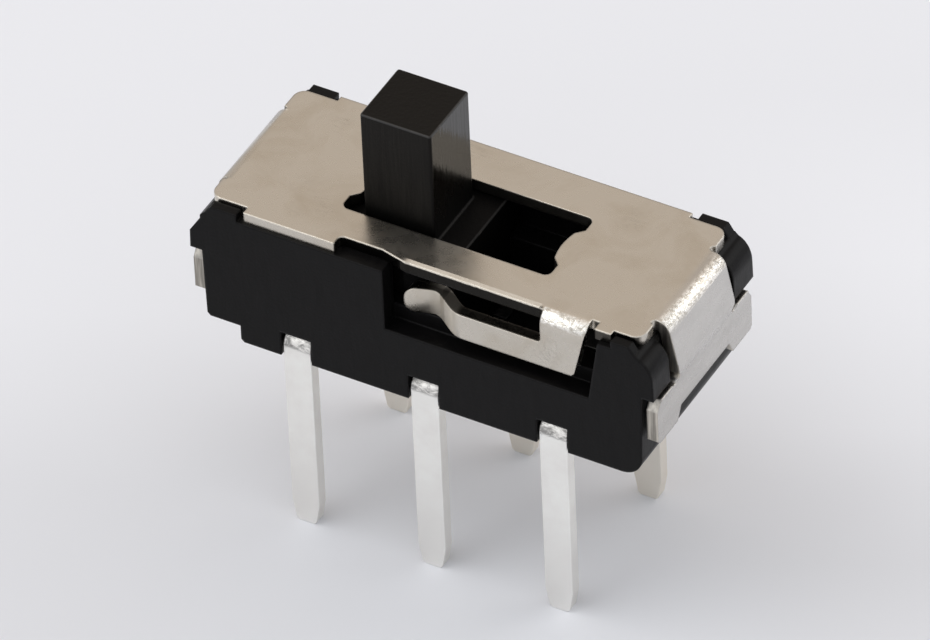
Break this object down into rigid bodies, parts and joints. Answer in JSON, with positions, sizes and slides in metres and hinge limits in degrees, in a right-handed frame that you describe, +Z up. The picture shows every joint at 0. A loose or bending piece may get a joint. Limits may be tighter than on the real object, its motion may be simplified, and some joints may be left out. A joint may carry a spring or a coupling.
{
  "type": "slide switch",
  "caption": "Miniature double-pole slide switch for circuit boards, with a tall knob, a folded metal cover with a spring arm, and straight terminals.",
  "frame": {"origin": "middle of the housing's underside, the face that seats on the board", "axes": "+X along the slide towards the knob's other position, +Y to the rear, away from the spring arm, +Z up through the knob"},
  "size_m": [0.0091, 0.0036, 0.0088],
  "materials": {
    "housing_plastic": "black moulded nylon, matte",
    "slider_plastic": "black moulded nylon, satin",
    "cover_nickel": "satin nickel plate on steel sheet",
    "terminal_tin": "bright tin plate on brass strip",
    "contact_bronze": "spring bronze"
  },
  "bodies": {
    "base": {"housing": "housing_plastic", "cover": "cover_nickel", "terminal_front_left": "terminal_tin", "terminal_front_middle": "terminal_tin", "terminal_front_right": "terminal_tin", "terminal_rear_left": "terminal_tin", "terminal_rear_middle": "terminal_tin", "terminal_rear_right": "terminal_tin"},
    "carriage": {"slider": "slider_plastic", "contact_front": "contact_bronze", "contact_rear": "contact_bronze"}
  },
  "joints": [
    {"name": "slider_travel", "type": "slide", "parent": "base", "child": "carriage", "axis": [1, 0, 0], "range_m": [0, 0.00191]}
  ]
}
